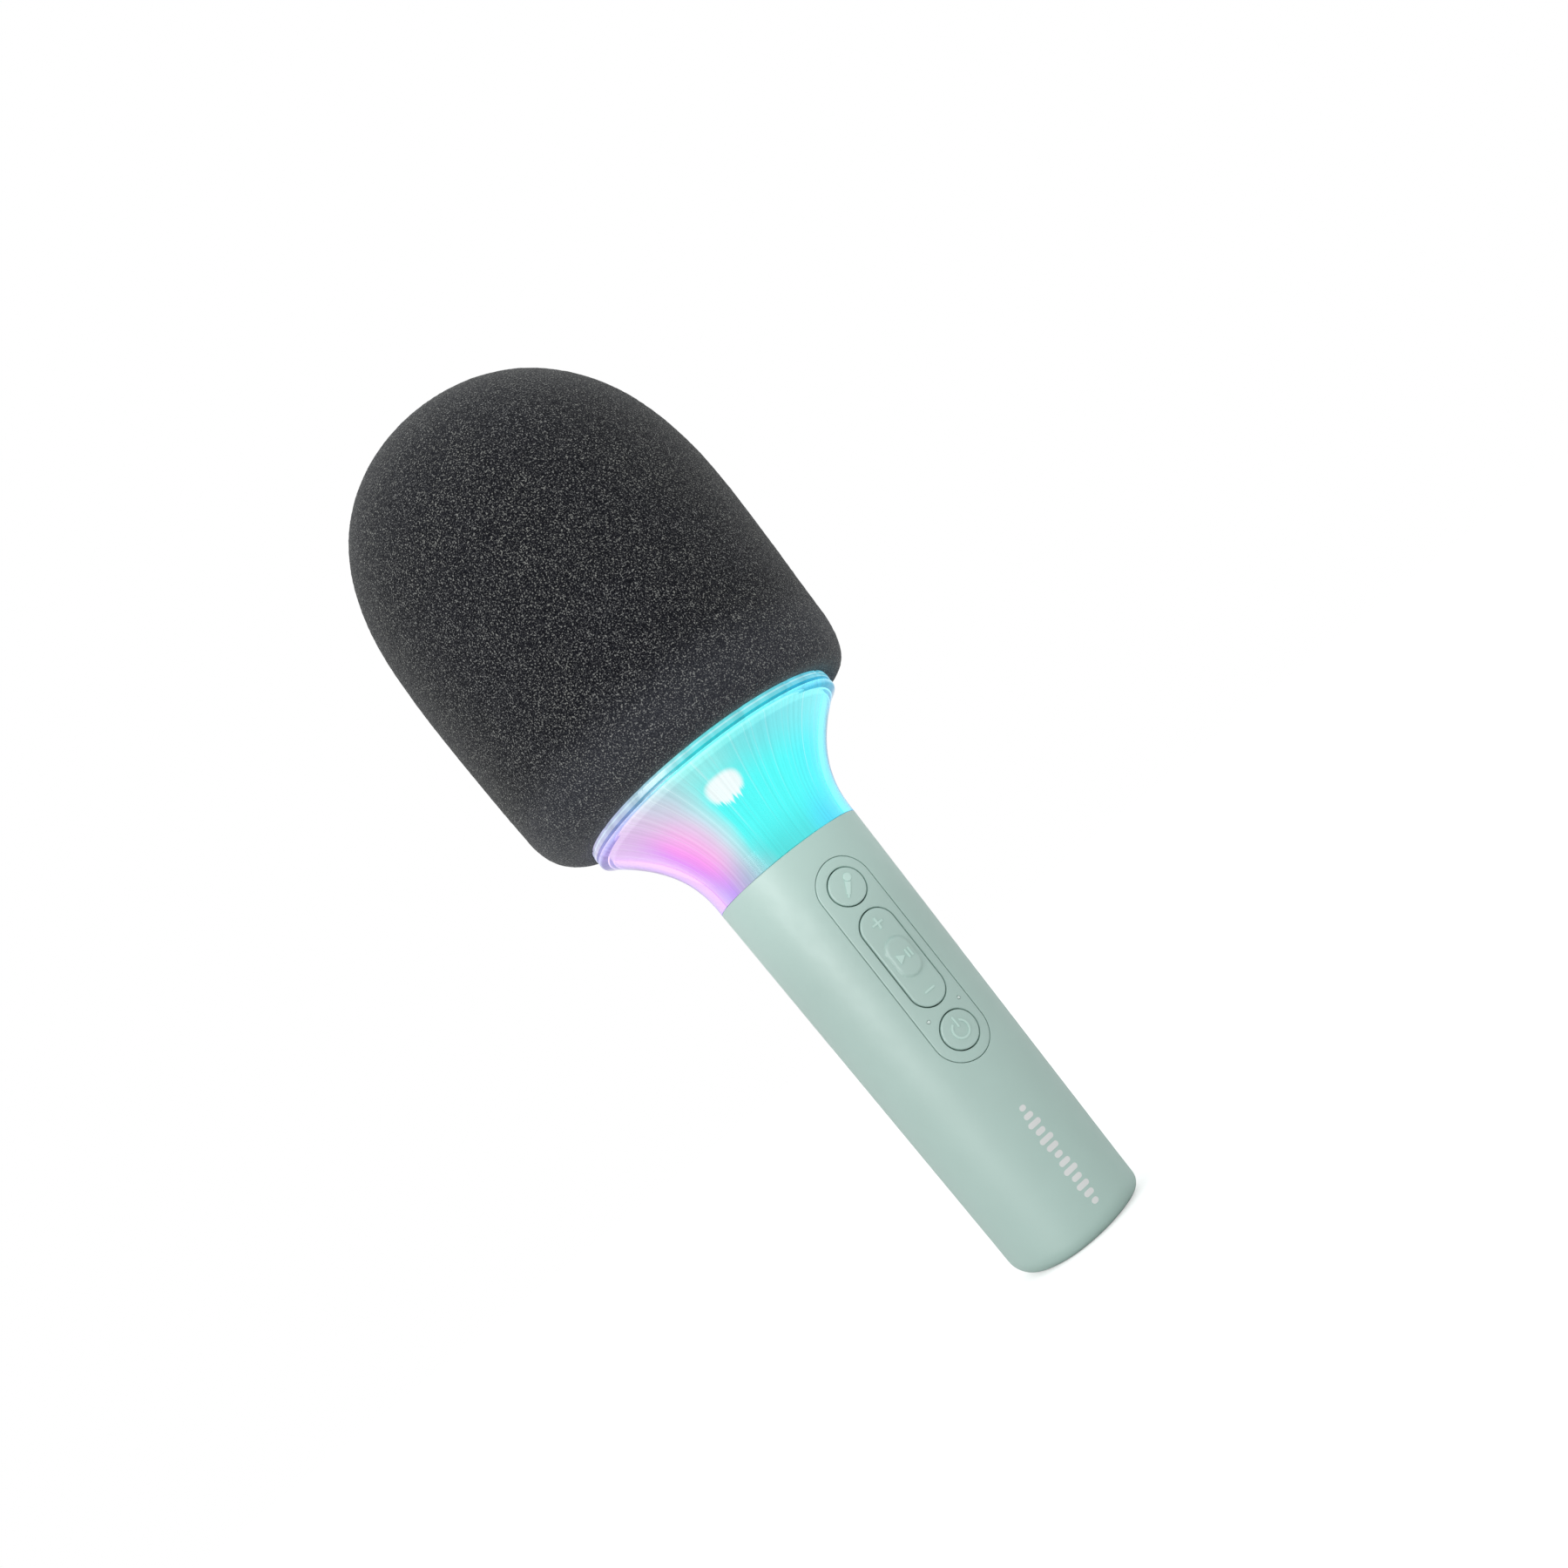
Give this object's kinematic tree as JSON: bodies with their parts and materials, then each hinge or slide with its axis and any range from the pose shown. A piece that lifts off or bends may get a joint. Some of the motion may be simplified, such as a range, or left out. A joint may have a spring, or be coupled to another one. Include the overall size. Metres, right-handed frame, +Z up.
{
  "type": "toy microphone",
  "caption": "Handheld karaoke toy microphone with pull-off foam windscreen, lit flared ring, tapered handle with press keys and rocker, and inner speaker, board and cell.",
  "frame": {"origin": "centre of the flat foot at the end of the handle", "axes": "+Z up the microphone's axis from foot to foam top, -Y the side with the keys, +X to the right when the keys are seen"},
  "size_m": [0.0892, 0.0892, 0.239],
  "materials": {
    "mint_shell": "soft-touch mint moulding, very fine satin texture",
    "mint_cap": "fine matte mint moulding",
    "mint_panel": "satin mint inlay",
    "mint_key": "satin mint key with low raised marks",
    "steel_screw": "zinc plated",
    "steel_pin": "ground pin",
    "socket_shell": "drawn nickel-plated shell",
    "black_plastic": "moulded black resin",
    "green_board": "solder-masked circuit board",
    "white_board": "white solder-masked circuit board",
    "white_plastic": "plain white moulding",
    "cell_wrap": "shrink sleeve",
    "nickel": "nickel strip",
    "red_lead": "insulated wire",
    "grey_lead": "screened wire",
    "light_chip": "phosphor dome",
    "clear_pipe": "clear light pipe",
    "ring_clear": "translucent polished moulding lit from inside, lilac to cyan",
    "rim_clear": "translucent polished moulding lit from inside",
    "ring_white": "milky diffuser",
    "dark_plastic": "dark moulding",
    "dark_metal": "black painted pressing",
    "surround_rubber": "rolled rubber",
    "cone_paper": "pressed pulp",
    "copper_coil": "enamelled copper winding",
    "zinc_steel": "zinc plated",
    "ferrite": "sintered ferrite",
    "cage_plastic": "dark moulded cage",
    "mesh_metal": "punched mesh, dark coat",
    "boot_rubber": "moulded silicone",
    "capsule_metal": "drawn can",
    "foam": "open-cell charcoal foam"
  },
  "bodies": {
    "body": {"handle_shell": "mint_shell", "end_cap": "mint_cap", "end_cap_screws": "steel_screw", "usb_shell": "socket_shell", "usb_tongue": "black_plastic", "charge_board": "green_board", "chassis": "white_plastic", "battery_cell": "cell_wrap", "battery_tabs": "nickel", "battery_leads": "red_lead", "control_board": "green_board", "board_chips": "black_plastic", "board_screws": "steel_screw", "key_switches": "black_plastic", "status_lights": "light_chip", "light_pipes": "clear_pipe", "key_panel": "mint_panel", "neck_tube": "white_plastic", "ring_lens": "ring_clear", "ring_diffuser": "ring_white", "ring_board": "white_board", "ring_lights": "light_chip", "ring_rim": "rim_clear", "head_base": "white_plastic", "head_screws": "steel_screw", "speaker_bracket": "dark_plastic", "speaker_frame": "dark_metal", "speaker_surround": "surround_rubber", "speaker_yoke": "zinc_steel", "speaker_magnet": "ferrite", "speaker_plate": "zinc_steel", "speaker_screws": "steel_screw", "speaker_leads": "red_lead", "grille_cage": "cage_plastic", "mesh_liner": "mesh_metal", "capsule_boot": "boot_rubber", "mic_capsule": "capsule_metal", "mic_lead": "grey_lead"},
    "voice_button": {"voice_key": "mint_key"},
    "power_button": {"power_key": "mint_key"},
    "rocker_carrier": {"rocker_yoke": "white_plastic", "rocker_pin": "steel_pin"},
    "rocker": {"rocker_key": "mint_key"},
    "speaker_diaphragm": {"speaker_cone": "cone_paper", "dust_cap": "cone_paper", "voice_coil": "copper_coil"},
    "windscreen": {"foam_windscreen": "foam"}
  },
  "joints": [
    {"name": "voice_press", "type": "slide", "parent": "body", "child": "voice_button", "axis": [0, 1, 0], "range_m": [0, 0.0004], "stiffness_N_per_m": 600},
    {"name": "power_press", "type": "slide", "parent": "body", "child": "power_button", "axis": [0, 1, 0], "range_m": [0, 0.0004], "stiffness_N_per_m": 600},
    {"name": "rocker_press", "type": "slide", "parent": "body", "child": "rocker_carrier", "axis": [0, 1, 0], "range_m": [0, 0.0004], "stiffness_N_per_m": 600},
    {"name": "rocker_tilt", "type": "hinge", "parent": "rocker_carrier", "child": "rocker", "pos_m": [0, -0.014, 0.0704], "axis": [1, 0, 0], "range_deg": [-2, 2], "stiffness_Nm_per_rad": 0.06},
    {"name": "speaker_travel", "type": "slide", "parent": "body", "child": "speaker_diaphragm", "axis": [0, 0, 1], "range_m": [-0.0008, 0.0008], "stiffness_N_per_m": 900},
    {"name": "windscreen_pull", "type": "slide", "parent": "body", "child": "windscreen", "axis": [0, 0, 1], "range_m": [0, 0.1]}
  ]
}
